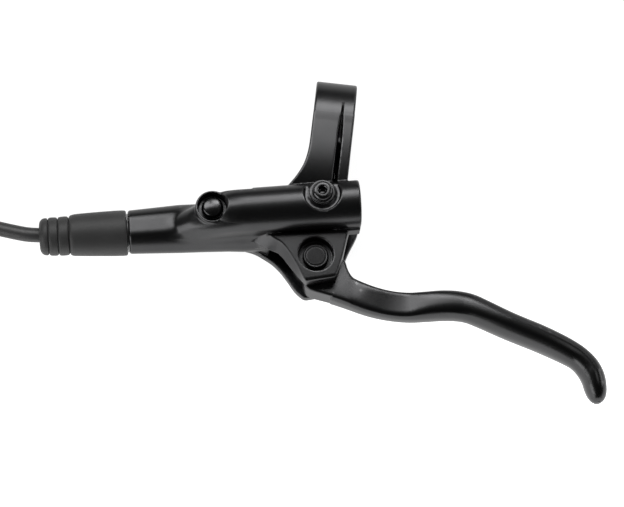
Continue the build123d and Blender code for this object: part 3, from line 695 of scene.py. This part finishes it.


# third colour of each finish: the lighter colour painted on convex edges as a highlight
M_BODY = satin("body_satin_black", 0.038, 0.046, 0.075, 0.29, 0.36, 0.10, 2600.0, 70.0, 0.5, 1.0, rim=0.8)
M_LEVER = satin("lever_satin_black", 0.038, 0.046, 0.075, 0.27, 0.33, 0.09, 2600.0, 70.0, 0.5, 1.0, rim=0.8)
M_SCREW = satin("screw_anodised", 0.045, 0.055, 0.09, 0.20, 0.28, 0.05, 3800.0, 160.0, 0.5, 1.0, rim=0.85)
M_PIN = satin("pin_plated", 0.022, 0.028, 0.12, 0.26, 0.34, 0.06, 3800.0, 160.0, 0.5, 1.0, rim=0.85)
M_BOLT = satin("bolt_oxide", 0.02, 0.03, 0.06, 0.32, 0.44, 0.10, 3000.0, 120.0, 0.5, 0.6)
M_NUT = satin("nut_anodised", 0.006, 0.009, 0.02, 0.34, 0.44, 0.08, 3000.0, 120.0, 0.4)
M_STEEL = satin("plain_steel", 0.45, 0.55, 0.65, 0.25, 0.38, 0.08, 3200.0, 150.0, 0.5, 1.0)
M_BRASS = satin("plain_brass", 0.55, 0.65, 0.75, 0.25, 0.36, 0.08, 3200.0, 150.0, 0.5, 1.0, (1.0, 0.78, 0.38))
M_RUBBER = satin("cover_rubber", 0.017, 0.024, 0.034, 0.50, 0.62, 0.22, 1900.0, 60.0, 0.35, 0.0, (1.0, 1.0, 1.0), 0.00008)
M_SEAL = satin("seal_rubber", 0.012, 0.018, 0.03, 0.50, 0.62, 0.15, 2400.0, 120.0, 0.4)
M_HOSE = satin("hose_jacket", 0.016, 0.022, 0.03, 0.42, 0.52, 0.18, 1500.0, 50.0, 0.45)
M_TIE = satin("tie_nylon", 0.02, 0.028, 0.05, 0.42, 0.52, 0.15, 1700.0, 90.0, 0.45)
M_CAP = satin("cap_moulded", 0.014, 0.02, 0.035, 0.40, 0.50, 0.15, 1900.0, 90.0, 0.45)
M_PISTON = satin("piston_moulded", 0.30, 0.36, 0.42, 0.35, 0.45, 0.10, 2000.0, 90.0, 0.45, 0.0, (1.0, 0.96, 0.9))
M_BUSH = satin("bush_moulded", 0.14, 0.18, 0.22, 0.40, 0.50, 0.10, 2000.0, 90.0, 0.45)


def dress(ob, mat):
    ob.data.materials.clear()
    ob.data.materials.append(mat)


for ob, mat in ((body_ob, M_BODY), (blade_ob, M_LEVER), (bleed_ob, M_SCREW), (plug_ob, M_SCREW), (pin_ob, M_PIN), (boot_ob, M_RUBBER),
                (hose, M_HOSE), (tie_ob, M_TIE), (spring_ob, M_STEEL)):
    dress(ob, mat)
BY_NODE = {"clamp_bolt": M_BOLT, "compression_nut": M_NUT, "olive": M_BRASS, "hose_insert": M_STEEL, "caliper_nut": M_NUT,
           "caliper_olive": M_BRASS, "caliper_insert": M_STEEL, "bleed_o_ring": M_SEAL, "port_plug_seal": M_SEAL, "reservoir_cap": M_CAP,
           "bladder": M_SEAL, "piston": M_PISTON, "primary_cup": M_SEAL, "secondary_cup": M_SEAL, "pushrod": M_STEEL,
           "stop_washer": M_STEEL, "circlip": M_STEEL, "upper_bush": M_BUSH, "lower_bush": M_BUSH, "reach_screw": M_BOLT, "pin_clip": M_STEEL}
for n, mat in BY_NODE.items():
    for sl in NODES[n].material_slots:
        sl.material = mat

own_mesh(spring_ob)

# ---------------------------------------------------------------------------
# floor and light
# ---------------------------------------------------------------------------
bpy.ops.mesh.primitive_plane_add(size=6.0, location=(0, 0, -0.0157))
floor = bpy.context.object
floor.name = "floor"
fm, nt, b = nodes_of("glowing_floor")
b.inputs["Roughness"].default_value = 0.85
b.inputs["Specular IOR Level"].default_value = 0.2
link(nt, ramp(nt, noise(nt, 3.0, 2.0), [(0.3, grey(0.10)), (0.7, grey(0.11))]), b.inputs["Base Color"])
# painted light: the dark floor glows; emission 0.94 washes out the shadows cast on it and rises to 2.1 in a band in
# front of the lever that lights the undersides
b.inputs["Emission Color"].default_value = (1, 1, 1, 1)
sep = nt.nodes.new("ShaderNodeSeparateXYZ")
link(nt, nt.nodes.new("ShaderNodeTexCoord").outputs["Object"], sep.inputs["Vector"])
glow = nt.nodes.new("ShaderNodeMapRange")
glow.interpolation_type = "SMOOTHSTEP"
for k, v in (("From Min", -0.095), ("From Max", -0.035), ("To Min", 2.1), ("To Max", 0.94)):
    glow.inputs[k].default_value = v
link(nt, sep.outputs["Y"], glow.inputs["Value"])
link(nt, glow.outputs["Result"], b.inputs["Emission Strength"])
dress(floor, fm)


def area(name, loc_m, target, size, radiance, roll=0.0):
    d = bpy.data.lights.new(name, "AREA")
    d.shape = "RECTANGLE"
    d.size, d.size_y = size
    d.energy = radiance * math.pi * size[0] * size[1]
    o = bpy.data.objects.new(name, d)
    scene.collection.objects.link(o)
    v = Vector(target) - Vector(loc_m)
    q = v.to_track_quat("-Z", "Y")
    o.matrix_world = Matrix.Translation(loc_m) @ q.to_matrix().to_4x4() @ Matrix.Rotation(roll, 4, "Z")
    return o


def overhead(name, e1, e2, radiance):
    """Soft panel level above the lever, given by its extent along two axes turned 15 degrees about (0, 24) mm."""
    c1, c2 = 0.5 * (e1[0] + e1[1]), 0.5 * (e2[0] + e2[1])
    a = math.radians(15.0)
    cx, cy = c1 * math.cos(a) - c2 * math.sin(a), 24.0 + c1 * math.sin(a) + c2 * math.cos(a)
    here = (cx * 0.001, cy * 0.001, 0.190)
    area(name, here, (here[0], here[1] + 0.0001, -1.0), ((e1[1] - e1[0]) * 0.001, (e2[1] - e2[0]) * 0.001), radiance, a)


overhead("key_left", (-84.0, -25.0), (0.0, 60.0), 6.0)
overhead("key_near", (-25.0, 62.0), (6.0, 60.0), 3.6)
overhead("key_far_left", (-50.0, -12.0), (55.0, 165.0), 4.4)
overhead("key_far", (-12.0, 62.0), (55.0, 165.0), 8.0)
overhead("key_far_right", (62.0, 104.0), (55.0, 165.0), 11.0)
overhead("key_hose", (-240.0, -84.0), (2.0, 150.0), 6.0)
area("west_card", (-0.75, -0.65, 0.22), (0.0, -0.05, 0.0), (0.9, 0.4), 4.4)
area("north_card", (0.47, 0.86, 0.34), (0.07, -0.06, 0.0), (0.5, 0.5), 1.3)
area("tip_card", (0.168, -0.02, 0.190), (0.168, -0.0199, -1.0), (0.09, 0.11), 1.2)
area("east_card", (0.85, 0.28, 0.16), (0.0, -0.02, 0.0), (0.5, 0.3), 3.0)

w = bpy.data.worlds.new("studio") if scene.world is None else scene.world
scene.world = w
w.use_nodes = True
bg = w.node_tree.nodes.get("Background")
bg.inputs["Color"].default_value = (1.0, 1.0, 1.0, 1.0)
bg.inputs["Strength"].default_value = 0.05
